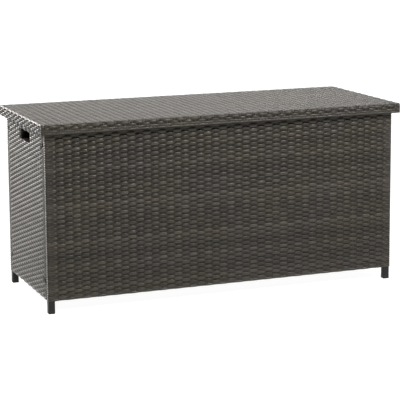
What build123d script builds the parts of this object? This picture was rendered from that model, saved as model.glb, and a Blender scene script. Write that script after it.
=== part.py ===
from build123d import *
from math import radians, degrees, sin, cos, atan2, hypot
import os

os.makedirs("parts", exist_ok=True)

# ---------------------------------------------------------------------------
# Deck storage box: welded aluminium tube frames carrying hand-woven flat
# plastic strand, four legs, a hinged lid and two gas struts.
# Millimetres. +X to the right, front faces -Y, +Z up.
# Origin on the ground, centred under the lid.
# ---------------------------------------------------------------------------

# overall
lid_length = 1200.0
lid_depth = 500.0
overall_height = 585.0
lid_thickness = 31.5
body_length = 1164.0
body_depth = 447.0
body_top = 551.0
weave_bottom = 40.0

# strand and weave
wrap = 1.5            # strand wrapped tightly round a tube
weave = 3.0           # woven field between tubes
lid_weave = 5.0       # weave over the lid frame

# tubes
tube = 20.0
flat_tube = 10.0
wall = 1.5
tube_r = 2.0
lid_tube_w = 40.0
lid_tube_h = 25.0

# feet
cap_height = 13.0
cap_size = 20.6

# hand holes, in the middle of both ends
hole_length = 110.0
hole_bottom = 501.0
hole_top = 538.5

# panel bolts
bolt_r = 3.0
bolt_head_r = 5.0
bolt_access_r = 6.0
bolt_zs = (99.0, 514.0)

# hinges
axis_y = 228.0
axis_z = 549.5
knuckle_r = 3.7
pin_r = 2.0
leaf_t = 2.0
leaf_w = 60.0
hinge_xs = (-430.0, 0.0, 430.0)
screw_r = 2.0
screw_xs = (-20.0, 0.0, 20.0)
open_deg = 80.0

# gas struts
strut_x = 541.0       # distance of the strut's centre line from the middle
lower_y, lower_z = 190.2, 350.0
upper_y, upper_z = 164.0, 526.0
strut_tube_r = 7.5
strut_rod_r = 3.0
eye_r = 8.0
eye_w = 10.0
stud_r = 4.0
clear = 0.05

# derived
half_l = body_length / 2
half_d = body_depth / 2
lid_under = overall_height - lid_thickness
post_x = half_l - wrap - tube / 2
post_y = half_d - wrap - tube / 2
rail_top = body_top - wrap
rail_y = half_d - weave - tube / 2            # centre of front and rear rails
side_x = half_l - weave - tube / 2            # centre of side-frame tubes
post_in_x = post_x - tube / 2
post_in_y = post_y - tube / 2
stile_y = rail_y - tube - 0.3                 # side-frame uprights behind the posts
stile_in_y = stile_y - tube / 2
side_weave_y = post_in_y - 0.3                # half width of the end panels' weave
low_z = weave_bottom + 2.0                    # underside of the bottom rails
floor_z = low_z + tube
side_in_x = side_x - tube / 2
handle_z = hole_bottom - 1.0                  # top of the tube under the hand hole
side_top_z = rail_top - flat_tube             # underside of the flat top tube
lid_tube_z = lid_under + wrap                 # underside of the lid tubes
lid_in_x = lid_length / 2 - wrap - lid_tube_w
lid_in_y = lid_depth / 2 - wrap - lid_tube_w


def save(piece, label):
    piece.part.label = label
    export_step(piece.part, "parts/" + label + ".step")


def tube_section(width, height):
    """Hollow rectangular section with rounded corners, in the open sketch."""
    RectangleRounded(width, height, tube_r)
    RectangleRounded(width - 2 * wall, height - 2 * wall, 0.6, mode=Mode.SUBTRACT)


# ---------------------------------------------------------------------------
# Corner posts: the frame's legs, bare below the weave, with plastic foot caps
# ---------------------------------------------------------------------------
with BuildPart() as front_left_post:
    with BuildSketch(Plane.XY.offset(cap_height)):
        with Locations((-post_x, -post_y)):
            tube_section(tube, tube)
    extrude(amount=rail_top - cap_height)
save(front_left_post, "front_left_post")

with BuildPart() as front_right_post:
    mirror(front_left_post.part, about=Plane.YZ)
save(front_right_post, "front_right_post")

with BuildPart() as rear_left_post:
    mirror(front_left_post.part, about=Plane.XZ)
save(rear_left_post, "rear_left_post")

with BuildPart() as rear_right_post:
    mirror(front_right_post.part, about=Plane.XZ)
save(rear_right_post, "rear_right_post")

with BuildPart() as foot_caps:
    with BuildSketch(Plane.XY):
        with GridLocations(2 * post_x, 2 * post_y, 2, 2):
            RectangleRounded(cap_size, cap_size, 2.6)
    extrude(amount=cap_height)
    fillet(foot_caps.faces().filter_by(Plane.XY).group_by(Axis.Z)[0].edges(), 2.2)
    with BuildSketch(Plane.XY.offset(cap_height)):
        with GridLocations(2 * post_x, 2 * post_y, 2, 2):
            RectangleRounded(tube - 2 * wall - 0.2, tube - 2 * wall - 0.2, 0.6)
    extrude(amount=18.0)
save(foot_caps, "foot_caps")

# ---------------------------------------------------------------------------
# Front and rear frames: top rail, bottom rail and two uprights between posts
# ---------------------------------------------------------------------------
rail_len = 2 * post_in_x

with BuildPart() as front_top_rail:
    with BuildSketch(Plane.YZ.offset(-post_in_x)):
        with Locations((-rail_y, rail_top - tube / 2)):
            tube_section(tube, tube)
    extrude(amount=rail_len)
save(front_top_rail, "front_top_rail")

with BuildPart() as front_bottom_rail:
    with BuildSketch(Plane.YZ.offset(-post_in_x)):
        with Locations((-rail_y, low_z + tube / 2)):
            tube_section(tube, tube)
    extrude(amount=rail_len)
save(front_bottom_rail, "front_bottom_rail")

upright_x = 190.0
with BuildPart() as front_uprights:
    with BuildSketch(Plane.XY.offset(floor_z)):
        with Locations((-upright_x, -rail_y), (upright_x, -rail_y)):
            tube_section(tube, tube)
    extrude(amount=rail_top - tube - floor_z)
save(front_uprights, "front_uprights")

with BuildPart() as rear_top_rail:
    mirror(front_top_rail.part, about=Plane.XZ)
    # pilot holes for the hinge screws
    with BuildSketch(Plane.XZ.offset(-(half_d + 1.0))):
        with Locations(*[(hx + sx, 536.0) for hx in hinge_xs for sx in screw_xs]):
            Circle(screw_r + clear)
    extrude(amount=8.0, mode=Mode.SUBTRACT)
save(rear_top_rail, "rear_top_rail")

with BuildPart() as rear_bottom_rail:
    mirror(front_bottom_rail.part, about=Plane.XZ)
save(rear_bottom_rail, "rear_bottom_rail")

with BuildPart() as rear_uprights:
    mirror(front_uprights.part, about=Plane.XZ)
save(rear_uprights, "rear_uprights")

# ---------------------------------------------------------------------------
# End frames: uprights, rails and the tubes round the hand hole
# ---------------------------------------------------------------------------
with BuildPart() as left_side_stiles:
    with BuildSketch(Plane.XY.offset(low_z)):
        with Locations((-side_x, -stile_y), (-side_x, stile_y)):
            tube_section(tube, tube)
    extrude(amount=side_top_z - low_z)
    # wide access holes outside, bolt holes inside
    with BuildSketch(Plane.YZ.offset(-half_l)):
        with Locations(*[(y, z) for y in (-stile_y, stile_y) for z in bolt_zs]):
            Circle(bolt_access_r)
    extrude(amount=weave + wall + 2.0, mode=Mode.SUBTRACT)
    with BuildSketch(Plane.YZ.offset(-side_x)):
        with Locations(*[(y, z) for y in (-stile_y, stile_y) for z in bolt_zs]):
            Circle(bolt_r + 0.2)
    extrude(amount=tube, mode=Mode.SUBTRACT)
    # pilot holes for the strut bracket
    with BuildSketch(Plane.YZ.offset(-side_x)):
        with Locations((lower_y, lower_z - 14.0), (lower_y, lower_z + 14.0)):
            Circle(screw_r + clear)
    extrude(amount=tube, mode=Mode.SUBTRACT)
save(left_side_stiles, "left_side_stiles")

with BuildPart() as right_side_stiles:
    mirror(left_side_stiles.part, about=Plane.YZ)
save(right_side_stiles, "right_side_stiles")

with BuildPart() as left_side_rails:
    # flat tube under the rim, over the hand hole
    with BuildSketch(Plane.XZ.offset(-(stile_y + tube / 2))):
        with Locations((-side_x, side_top_z + flat_tube / 2)):
            tube_section(tube, flat_tube)
    extrude(amount=2 * stile_y + tube)
    # flat tube under the hand hole
    with BuildSketch(Plane.XZ.offset(-stile_in_y)):
        with Locations((-side_x, handle_z - flat_tube / 2)):
            tube_section(tube, flat_tube)
    extrude(amount=2 * stile_in_y)
    # bottom rail
    with BuildSketch(Plane.XZ.offset(-stile_in_y)):
        with Locations((-side_x, low_z + tube / 2)):
            tube_section(tube, tube)
    extrude(amount=2 * stile_in_y)
save(left_side_rails, "left_side_rails")

with BuildPart() as right_side_rails:
    mirror(left_side_rails.part, about=Plane.YZ)
save(right_side_rails, "right_side_rails")

jamb_y = hole_length / 2 + 1.0 + tube / 2
with BuildPart() as handle_jambs:
    with BuildSketch(Plane.XY.offset(handle_z)):
        with GridLocations(2 * (side_x + tube / 2 - flat_tube / 2), 2 * jamb_y, 2, 2):
            tube_section(flat_tube, tube)
    extrude(amount=side_top_z - handle_z)
save(handle_jambs, "handle_jambs")

# ---------------------------------------------------------------------------
# Woven panels: closed sheets with the true outer size and openings
# ---------------------------------------------------------------------------
with BuildPart() as front_wicker:
    with BuildSketch(Plane.XY.offset(weave_bottom)):
        with Locations((0, -half_d + wrap / 2)):
            Rectangle(body_length, wrap)
        with Locations((0, -half_d + weave / 2)):
            Rectangle(2 * post_in_x - 0.4, weave)
    extrude(amount=body_top - weave_bottom)
save(front_wicker, "front_wicker")

with BuildPart() as rear_wicker:
    mirror(front_wicker.part, about=Plane.XZ)
    with BuildSketch(Plane.XZ.offset(-(half_d + 1.0))):
        with Locations(*[(hx + sx, 536.0) for hx in hinge_xs for sx in screw_xs]):
            Circle(screw_r + clear)
    extrude(amount=8.0, mode=Mode.SUBTRACT)
save(rear_wicker, "rear_wicker")

with BuildPart() as left_wicker:
    with BuildSketch(Plane.YZ.offset(-half_l)):
        with Locations((0, (weave_bottom + body_top) / 2)):
            Rectangle(2 * side_weave_y, body_top - weave_bottom)
        with Locations((0, (hole_bottom + hole_top) / 2)):
            RectangleRounded(hole_length, hole_top - hole_bottom, 3.0, mode=Mode.SUBTRACT)
        with Locations(*[(y, z) for y in (-stile_y, stile_y) for z in bolt_zs]):
            Circle(bolt_access_r, mode=Mode.SUBTRACT)
    extrude(amount=weave)
save(left_wicker, "left_wicker")

with BuildPart() as right_wicker:
    mirror(left_wicker.part, about=Plane.YZ)
save(right_wicker, "right_wicker")

# strand wound round each post: an outer side strip and a cap over the top
with BuildPart() as corner_wraps:
    with BuildSketch(Plane.XY.offset(weave_bottom)):
        with GridLocations(2 * (half_l - wrap / 2), 2 * post_y, 2, 2):
            Rectangle(wrap, tube)
    extrude(amount=body_top - weave_bottom)
    with BuildSketch(Plane.XY.offset(rail_top)):
        with GridLocations(2 * post_x, 2 * post_y, 2, 2):
            Rectangle(tube, tube)
    extrude(amount=wrap)
save(corner_wraps, "corner_wraps")

# strand wound over the top rails
with BuildPart() as rim_wrap:
    with BuildSketch(Plane.XY.offset(rail_top)):
        with GridLocations(0, 2 * rail_y, 1, 2):
            Rectangle(2 * post_in_x - 0.4, tube)
        with GridLocations(2 * side_x, 0, 2, 1):
            Rectangle(tube, 2 * (stile_y + tube / 2))
    extrude(amount=wrap)
save(rim_wrap, "rim_wrap")

# ---------------------------------------------------------------------------
# Floor: four cross tubes between the bottom rails and a woven floor sheet
# ---------------------------------------------------------------------------
floor_y = rail_y - tube / 2
bar_xs = (-540.0, -190.0, 190.0, 540.0)
floor_screw_ys = (-150.0, 0.0, 150.0)
with BuildPart() as floor_crossbars:
    with BuildSketch(Plane.XZ.offset(-floor_y)):
        with Locations(*[(x, low_z + tube / 2) for x in bar_xs]):
            tube_section(tube, tube)
    extrude(amount=2 * floor_y)
    with BuildSketch(Plane.XY.offset(floor_z - 3.0)):
        with Locations(*[(x, y) for x in bar_xs for y in floor_screw_ys]):
            Circle(screw_r + clear)
    extrude(amount=6.0, mode=Mode.SUBTRACT)
save(floor_crossbars, "floor_crossbars")

with BuildPart() as floor_wicker:
    with BuildSketch(Plane.XY.offset(floor_z)):
        Rectangle(2 * (side_in_x - 1.0), 2 * (floor_y - 1.0))
        with Locations(*[(x, y) for x in bar_xs for y in floor_screw_ys]):
            Circle(screw_r + clear, mode=Mode.SUBTRACT)
    extrude(amount=weave)
save(floor_wicker, "floor_wicker")

with BuildPart() as floor_screws:
    with BuildSketch(Plane.XY.offset(floor_z + weave)):
        with Locations(*[(x, y) for x in bar_xs for y in floor_screw_ys]):
            Circle(6.0)
    extrude(amount=2.0)
    fillet(floor_screws.faces().filter_by(Plane.XY).group_by(Axis.Z)[-1].edges(), 1.2)
    with BuildSketch(Plane.XY.offset(floor_z + weave - 12.0)):
        with Locations(*[(x, y) for x in bar_xs for y in floor_screw_ys]):
            Circle(screw_r)
    extrude(amount=12.0)
    with BuildSketch(Plane.XY.offset(floor_z + weave + 2.0)):
        with Locations(*[(x, y) for x in bar_xs for y in floor_screw_ys]):
            Rectangle(5.0, 1.1)
            Rectangle(1.1, 5.0)
    extrude(amount=-1.0, mode=Mode.SUBTRACT)
save(floor_screws, "floor_screws")

# ---------------------------------------------------------------------------
# Knock-down joints: a tab welded inside each post, a nut on it, and a bolt
# through the end frame's upright
# ---------------------------------------------------------------------------
tab_t = 3.0
with BuildPart() as corner_brackets:
    for z in bolt_zs:
        for sx in (-1, 1):
            for sy in (-1, 1):
                with BuildSketch(Plane.XY.offset(z - 15.0)):
                    with Locations((sx * (side_in_x - tab_t / 2), sy * 201.0)):
                        Rectangle(tab_t, 34.0)
                    with Locations((sx * (side_in_x + 0.75), sy * 210.5)):
                        Rectangle(1.5, 15.0)
                extrude(amount=30.0)
    with BuildSketch(Plane.YZ.offset(-half_l)):
        with Locations(*[(y, z) for y in (-stile_y, stile_y) for z in bolt_zs]):
            Circle(bolt_r + 0.2)
    extrude(amount=body_length, mode=Mode.SUBTRACT)
save(corner_brackets, "corner_brackets")

nut_x = side_in_x - tab_t
with BuildPart() as bracket_nuts:
    for sx in (-1, 1):
        with BuildSketch(Plane.YZ.offset(sx * nut_x)):
            with Locations(*[(y, z) for y in (-stile_y, stile_y) for z in bolt_zs]):
                RegularPolygon(5.0, 6, major_radius=False)
                Circle(bolt_r + clear, mode=Mode.SUBTRACT)
        extrude(amount=-sx * 5.0)
save(bracket_nuts, "bracket_nuts")

seat_x = side_in_x + wall
with BuildPart() as panel_bolts:
    for sx in (-1, 1):
        with BuildSketch(Plane.YZ.offset(sx * seat_x)):
            with Locations(*[(y, z) for y in (-stile_y, stile_y) for z in bolt_zs]):
                Circle(bolt_head_r)
        extrude(amount=sx * 6.0)
        with BuildSketch(Plane.YZ.offset(sx * (seat_x + 6.0))):
            with Locations(*[(y, z) for y in (-stile_y, stile_y) for z in bolt_zs]):
                RegularPolygon(2.5, 6, major_radius=False)
        extrude(amount=-sx * 3.0, mode=Mode.SUBTRACT)
        with BuildSketch(Plane.YZ.offset(sx * seat_x)):
            with Locations(*[(y, z) for y in (-stile_y, stile_y) for z in bolt_zs]):
                Circle(bolt_r)
        extrude(amount=-sx * 11.0)
save(panel_bolts, "panel_bolts")

# ---------------------------------------------------------------------------
# Rubber bumpers that the lid rests on
# ---------------------------------------------------------------------------
with BuildPart() as lid_bumpers:
    with BuildSketch(Plane.XY.offset(body_top)):
        with GridLocations(2 * 500.0, 2 * 214.0, 2, 2):
            Circle(5.0)
    extrude(amount=lid_under - body_top)
    chamfer(lid_bumpers.faces().filter_by(Plane.XY).group_by(Axis.Z)[-1].edges(), 0.8)
save(lid_bumpers, "lid_bumpers")

# ---------------------------------------------------------------------------
# Hinges: three butt hinges behind the rear rail, under the lid's overhang
# ---------------------------------------------------------------------------
with BuildPart() as hinge_body_leaves:
    with BuildSketch(Plane.XZ.offset(-half_d)):
        for hx in hinge_xs:
            with Locations((hx, 534.25)):
                Rectangle(leaf_w, 30.5)
            with Locations((hx, 548.0)):
                Rectangle(20.6, 8.0, mode=Mode.SUBTRACT)
            with Locations(*[(hx + sx, 536.0) for sx in screw_xs]):
                Circle(screw_r + clear, mode=Mode.SUBTRACT)
    extrude(amount=-leaf_t)
    for hx in hinge_xs:
        for kx in (hx - leaf_w / 2, hx + 10.3):
            with BuildSketch(Plane.YZ.offset(kx)):
                with Locations((axis_y, axis_z)):
                    Circle(knuckle_r)
                    Circle(pin_r + clear, mode=Mode.SUBTRACT)
            extrude(amount=leaf_w / 2 - 10.3)
    with BuildSketch(Plane.YZ.offset(-half_l)):
        with Locations((axis_y, axis_z)):
            Circle(pin_r + clear)
    extrude(amount=body_length, mode=Mode.SUBTRACT)
save(hinge_body_leaves, "hinge_body_leaves")

with BuildPart() as hinge_pins:
    for hx in hinge_xs:
        with BuildSketch(Plane.YZ.offset(hx - leaf_w / 2 - 0.5)):
            with Locations((axis_y, axis_z)):
                Circle(pin_r)
        extrude(amount=leaf_w + 1.0)
        with BuildSketch(Plane.YZ.offset(hx + leaf_w / 2 + 0.5)):
            with Locations((axis_y, axis_z)):
                Circle(3.2)
        extrude(amount=1.2)
save(hinge_pins, "hinge_pins")

with BuildPart() as hinge_body_screws:
    with BuildSketch(Plane.XZ.offset(-(half_d + leaf_t))):
        with Locations(*[(hx + sx, 536.0) for hx in hinge_xs for sx in screw_xs]):
            Circle(3.8)
    extrude(amount=-2.2)
    fillet(hinge_body_screws.faces().sort_by(Axis.Y).group_by(Axis.Y)[-1].edges(), 1.4)
    with BuildSketch(Plane.XZ.offset(-(half_d + leaf_t))):
        with Locations(*[(hx + sx, 536.0) for hx in hinge_xs for sx in screw_xs]):
            Circle(screw_r)
    extrude(amount=12.0)
    with BuildSketch(Plane.XZ.offset(-(half_d + leaf_t + 2.2))):
        with Locations(*[(hx + sx, 536.0) for hx in hinge_xs for sx in screw_xs]):
            Rectangle(4.0, 0.9)
            Rectangle(0.9, 4.0)
    extrude(amount=1.0, mode=Mode.SUBTRACT)
save(hinge_body_screws, "hinge_body_screws")

lid_screw_y = 241.0
with BuildPart() as hinge_lid_leaves:
    with BuildSketch(Plane.XY.offset(lid_under - leaf_t)):
        for hx in hinge_xs:
            with Locations((hx, (233.0 + 248.5) / 2)):
                Rectangle(leaf_w, 248.5 - 233.0)
            with Locations((hx, (axis_y + 234.0) / 2)):
                Rectangle(19.4, 234.0 - axis_y)
            with Locations(*[(hx + sx, lid_screw_y) for sx in screw_xs]):
                Circle(screw_r + clear, mode=Mode.SUBTRACT)
    extrude(amount=leaf_t)
    for hx in hinge_xs:
        with BuildSketch(Plane.YZ.offset(hx - 9.7)):
            with Locations((axis_y, axis_z)):
                Circle(knuckle_r)
            with Locations((axis_y, axis_z + 2.0)):
                Rectangle(2.4, 4.0)
        extrude(amount=19.4)
    with BuildSketch(Plane.YZ.offset(-half_l)):
        with Locations((axis_y, axis_z)):
            Circle(pin_r + clear)
    extrude(amount=body_length, mode=Mode.SUBTRACT)
save(hinge_lid_leaves, "hinge_lid_leaves")

with BuildPart() as hinge_lid_screws:
    with BuildSketch(Plane.XY.offset(lid_under - leaf_t - 2.2)):
        with Locations(*[(hx + sx, lid_screw_y) for hx in hinge_xs for sx in screw_xs]):
            Circle(3.8)
    extrude(amount=2.2)
    fillet(hinge_lid_screws.faces().filter_by(Plane.XY).group_by(Axis.Z)[0].edges(), 1.4)
    with BuildSketch(Plane.XY.offset(lid_under - leaf_t)):
        with Locations(*[(hx + sx, lid_screw_y) for hx in hinge_xs for sx in screw_xs]):
            Circle(screw_r)
    extrude(amount=12.0)
    with BuildSketch(Plane.XY.offset(lid_under - leaf_t - 2.2)):
        with Locations(*[(hx + sx, lid_screw_y) for hx in hinge_xs for sx in screw_xs]):
            Rectangle(4.0, 0.9)
            Rectangle(0.9, 4.0)
    extrude(amount=1.0, mode=Mode.SUBTRACT)
save(hinge_lid_screws, "hinge_lid_screws")

# ---------------------------------------------------------------------------
# Lid: a ring of 40 x 25 tube, two cross tubes, the woven top and the strand
# wound round the edge
# ---------------------------------------------------------------------------
with BuildPart() as lid_front_rail:
    with BuildSketch(Plane.YZ.offset(-(lid_length / 2 - wrap))):
        with Locations((-(lid_depth / 2 - wrap - lid_tube_w / 2), lid_tube_z + lid_tube_h / 2)):
            tube_section(lid_tube_w, lid_tube_h)
    extrude(amount=lid_length - 2 * wrap)
save(lid_front_rail, "lid_front_rail")

with BuildPart() as lid_rear_rail:
    mirror(lid_front_rail.part, about=Plane.XZ)
    with BuildSketch(Plane.XY.offset(lid_tube_z - 2.0)):
        with Locations(*[(hx + sx, lid_screw_y) for hx in hinge_xs for sx in screw_xs]):
            Circle(screw_r + clear)
    extrude(amount=6.0, mode=Mode.SUBTRACT)
save(lid_rear_rail, "lid_rear_rail")

up_screws = ((upper_y, 560.0), (upper_y, 574.0))
with BuildPart() as lid_side_rails:
    with BuildSketch(Plane.XZ.offset(-lid_in_y)):
        with GridLocations(2 * (lid_length / 2 - wrap - lid_tube_w / 2), 0, 2, 1):
            with Locations((0, lid_tube_z + lid_tube_h / 2)):
                tube_section(lid_tube_w, lid_tube_h)
    extrude(amount=2 * lid_in_y)
    with BuildSketch(Plane.YZ.offset(-(lid_in_x + 10.0))):
        with Locations(*up_screws):
            Circle(screw_r + clear)
    extrude(amount=2 * (lid_in_x + 10.0), mode=Mode.SUBTRACT)
save(lid_side_rails, "lid_side_rails")

with BuildPart() as lid_crossbars:
    with BuildSketch(Plane.XZ.offset(-lid_in_y)):
        with Locations((-upright_x, lid_tube_z + lid_tube_h - tube / 2),
                       (upright_x, lid_tube_z + lid_tube_h - tube / 2)):
            tube_section(tube, tube)
    extrude(amount=2 * lid_in_y)
save(lid_crossbars, "lid_crossbars")

with BuildPart() as lid_wicker:
    with BuildSketch(Plane.XY.offset(overall_height - lid_weave)):
        RectangleRounded(lid_length, lid_depth, 4.0)
    extrude(amount=lid_weave)
    fillet(lid_wicker.faces().sort_by(Axis.Z)[-1].edges(), 3.0)
save(lid_wicker, "lid_wicker")

with BuildPart() as lid_edge_wrap:
    with BuildSketch(Plane.XY.offset(lid_under)):
        RectangleRounded(lid_length, lid_depth, 4.0)
        Rectangle(2 * lid_in_x, 2 * lid_in_y, mode=Mode.SUBTRACT)
    extrude(amount=wrap)
    with BuildSketch(Plane.XY.offset(lid_tube_z)):
        RectangleRounded(lid_length, lid_depth, 4.0)
        Rectangle(lid_length - 2 * wrap, lid_depth - 2 * wrap, mode=Mode.SUBTRACT)
    extrude(amount=lid_tube_h)
    with BuildSketch(Plane.XY.offset(lid_under - 1.0)):
        with Locations(*[(hx + sx, lid_screw_y) for hx in hinge_xs for sx in screw_xs]):
            Circle(screw_r + clear)
    extrude(amount=wrap + 1.0, mode=Mode.SUBTRACT)
save(lid_edge_wrap, "lid_edge_wrap")

# ---------------------------------------------------------------------------
# Gas struts. The lower eye turns on a stud on the end frame; the upper eye's
# stud slides flat against the lid bracket, with a small gap between them.
# ---------------------------------------------------------------------------
dy = upper_y - lower_y
dz = upper_z - lower_z
closed_length = hypot(dy, dz)
uy, uz = dy / closed_length, dz / closed_length
ry, rz = upper_y - axis_y, upper_z - axis_z
th = radians(open_deg)
open_y = axis_y + ry * cos(th) + rz * sin(th)
open_z = axis_z - ry * sin(th) + rz * cos(th)
open_length = hypot(open_y - lower_y, open_z - lower_z)
stroke = open_length - closed_length
tilt = degrees(atan2(uz, uy) - atan2(open_z - lower_z, open_y - lower_y))
print("strut closed %.3f open %.3f stroke %.4f tilt %.4f" % (closed_length, open_length, stroke, tilt))
print("strut direction", round(uy, 6), round(uz, 6))
print("ratio tilt %.6f  ratio slide m/rad %.8f" % (tilt / open_deg, stroke / 1000.0 / th))


def along(s):
    """Plane square to the left strut's centre line, s from its lower eye."""
    return Plane(origin=(-strut_x, lower_y + uy * s, lower_z + uz * s),
                 x_dir=(1, 0, 0), z_dir=(0, uy, uz))


def across(s):
    """Plane of the left strut's eye at s, facing +X."""
    return Plane(origin=(-strut_x, lower_y + uy * s, lower_z + uz * s),
                 x_dir=(0, uy, uz), z_dir=(1, 0, 0))


bracket_t = 3.0
low_face = side_in_x - bracket_t
with BuildPart() as strut_lower_brackets:
    for sx in (-1, 1):
        with BuildSketch(Plane.YZ.offset(sx * side_in_x)):
            with Locations((lower_y, lower_z)):
                RectangleRounded(18.0, 42.0, 5.0)
            with Locations((lower_y, lower_z - 14.0), (lower_y, lower_z + 14.0)):
                Circle(screw_r + clear, mode=Mode.SUBTRACT)
            with Locations((lower_y, lower_z)):
                Circle(3.0 + clear, mode=Mode.SUBTRACT)
        extrude(amount=-sx * bracket_t)
save(strut_lower_brackets, "strut_lower_brackets")

with BuildPart() as strut_lower_studs:
    for sx in (-1, 1):
        with BuildSketch(Plane.YZ.offset(sx * low_face)):
            with Locations((lower_y, lower_z)):
                Circle(7.0)
        extrude(amount=-sx * 2.0)
        with BuildSketch(Plane.YZ.offset(sx * (low_face - 2.0))):
            with Locations((lower_y, lower_z)):
                Circle(stud_r)
        extrude(amount=-sx * (low_face - 2.0 - strut_x + eye_w / 2 + 0.6))
        with BuildSketch(Plane.YZ.offset(sx * (strut_x - eye_w / 2 - 0.6))):
            with Locations((lower_y, lower_z)):
                Circle(5.6)
        extrude(amount=-sx * 1.6)
        with BuildSketch(Plane.YZ.offset(sx * low_face)):
            with Locations((lower_y, lower_z)):
                Circle(3.0)
        extrude(amount=sx * bracket_t)
save(strut_lower_studs, "strut_lower_studs")

with BuildPart() as strut_lower_screws:
    for sx in (-1, 1):
        with BuildSketch(Plane.YZ.offset(sx * low_face)):
            with Locations((lower_y, lower_z - 14.0), (lower_y, lower_z + 14.0)):
                Circle(3.6)
        extrude(amount=-sx * 2.0)
    fillet(strut_lower_screws.edges().filter_by(GeomType.CIRCLE)
           .filter_by(lambda e: abs(abs(e.center().X) - (low_face - 2.0)) < 0.01), 1.2)
    for sx in (-1, 1):
        with BuildSketch(Plane.YZ.offset(sx * low_face)):
            with Locations((lower_y, lower_z - 14.0), (lower_y, lower_z + 14.0)):
                Circle(screw_r)
        extrude(amount=sx * 12.0)
save(strut_lower_screws, "strut_lower_screws")

with BuildPart() as strut_upper_brackets:
    for sx in (-1, 1):
        with BuildSketch(Plane.YZ.offset(sx * lid_in_x)):
            with Locations((upper_y, (upper_z - 13.0 + 579.0) / 2)):
                RectangleRounded(30.0, 579.0 - upper_z + 13.0, 8.0)
            with Locations(*up_screws):
                Circle(screw_r + clear, mode=Mode.SUBTRACT)
        extrude(amount=-sx * bracket_t)
save(strut_upper_brackets, "strut_upper_brackets")

with BuildPart() as strut_upper_screws:
    for sx in (-1, 1):
        with BuildSketch(Plane.YZ.offset(sx * (lid_in_x - bracket_t))):
            with Locations(*up_screws):
                Circle(3.6)
        extrude(amount=-sx * 2.0)
    fillet(strut_upper_screws.edges().filter_by(GeomType.CIRCLE)
           .filter_by(lambda e: abs(abs(e.center().X) - (lid_in_x - bracket_t - 2.0)) < 0.01), 1.2)
    for sx in (-1, 1):
        with BuildSketch(Plane.YZ.offset(sx * (lid_in_x - bracket_t))):
            with Locations(*up_screws):
                Circle(screw_r)
        extrude(amount=sx * 12.0)
save(strut_upper_screws, "strut_upper_screws")

tube_start = 16.0
tube_end = closed_length - 26.0
gland_t = 7.0

with BuildPart() as left_strut_tube:
    with BuildSketch(along(tube_start)):
        Circle(strut_tube_r)
    extrude(amount=tube_end - tube_start)
    with BuildSketch(along(tube_start + 3.0)):
        Circle(strut_tube_r - 1.2)
    extrude(amount=tube_end - tube_start - 3.0, mode=Mode.SUBTRACT)
save(left_strut_tube, "left_strut_tube")

with BuildPart() as left_strut_gland:
    with BuildSketch(along(tube_end - gland_t)):
        Circle(strut_tube_r - 1.25)
        Circle(strut_rod_r + clear, mode=Mode.SUBTRACT)
    extrude(amount=gland_t + 1.5)
save(left_strut_gland, "left_strut_gland")

with BuildPart() as left_strut_base_eye:
    with BuildSketch(across(0)):
        Circle(eye_r)
    extrude(amount=eye_w / 2, both=True)
    with BuildSketch(along(4.5)):
        Circle(4.6)
    extrude(amount=tube_start - 4.5)
    with BuildSketch(across(0)):
        Circle(stud_r + clear)
    extrude(amount=eye_w, both=True, mode=Mode.SUBTRACT)
save(left_strut_base_eye, "left_strut_base_eye")

rod_start = tube_start + 3.0 + 8.0
rod_end = closed_length - 14.0
with BuildPart() as left_strut_rod:
    with BuildSketch(along(rod_start)):
        Circle(strut_rod_r)
    extrude(amount=rod_end - rod_start)
save(left_strut_rod, "left_strut_rod")

with BuildPart() as left_strut_piston:
    with BuildSketch(along(rod_start - 6.0)):
        Circle(strut_tube_r - 1.2 - clear)
    extrude(amount=6.0)
    chamfer(left_strut_piston.edges().filter_by(GeomType.CIRCLE), 0.6)
save(left_strut_piston, "left_strut_piston")

with BuildPart() as left_strut_rod_eye:
    with BuildSketch(across(closed_length)):
        Circle(eye_r)
    extrude(amount=eye_w / 2, both=True)
    with BuildSketch(along(closed_length - 4.5)):
        Circle(4.6)
    extrude(amount=-(14.0 - 4.5))
    with BuildSketch(across(closed_length)):
        Circle(stud_r + clear)
    extrude(amount=eye_w, both=True, mode=Mode.SUBTRACT)
save(left_strut_rod_eye, "left_strut_rod_eye")

up_face = lid_in_x - bracket_t - 0.3
with BuildPart() as left_strut_upper_stud:
    with BuildSketch(Plane.YZ.offset(-up_face)):
        with Locations((upper_y, upper_z)):
            Circle(7.0)
    extrude(amount=2.0)
    with BuildSketch(Plane.YZ.offset(-(up_face - 2.0))):
        with Locations((upper_y, upper_z)):
            Circle(stud_r)
    extrude(amount=up_face - 2.0 - strut_x + eye_w / 2 + 0.6)
    with BuildSketch(Plane.YZ.offset(-(strut_x - eye_w / 2 - 0.6))):
        with Locations((upper_y, upper_z)):
            Circle(5.6)
    extrude(amount=1.6)
save(left_strut_upper_stud, "left_strut_upper_stud")

with BuildPart() as right_strut_tube:
    mirror(left_strut_tube.part, about=Plane.YZ)
save(right_strut_tube, "right_strut_tube")

with BuildPart() as right_strut_gland:
    mirror(left_strut_gland.part, about=Plane.YZ)
save(right_strut_gland, "right_strut_gland")

with BuildPart() as right_strut_base_eye:
    mirror(left_strut_base_eye.part, about=Plane.YZ)
save(right_strut_base_eye, "right_strut_base_eye")

with BuildPart() as right_strut_rod:
    mirror(left_strut_rod.part, about=Plane.YZ)
save(right_strut_rod, "right_strut_rod")

with BuildPart() as right_strut_piston:
    mirror(left_strut_piston.part, about=Plane.YZ)
save(right_strut_piston, "right_strut_piston")

with BuildPart() as right_strut_rod_eye:
    mirror(left_strut_rod_eye.part, about=Plane.YZ)
save(right_strut_rod_eye, "right_strut_rod_eye")

with BuildPart() as right_strut_upper_stud:
    mirror(left_strut_upper_stud.part, about=Plane.YZ)
save(right_strut_upper_stud, "right_strut_upper_stud")
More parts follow.
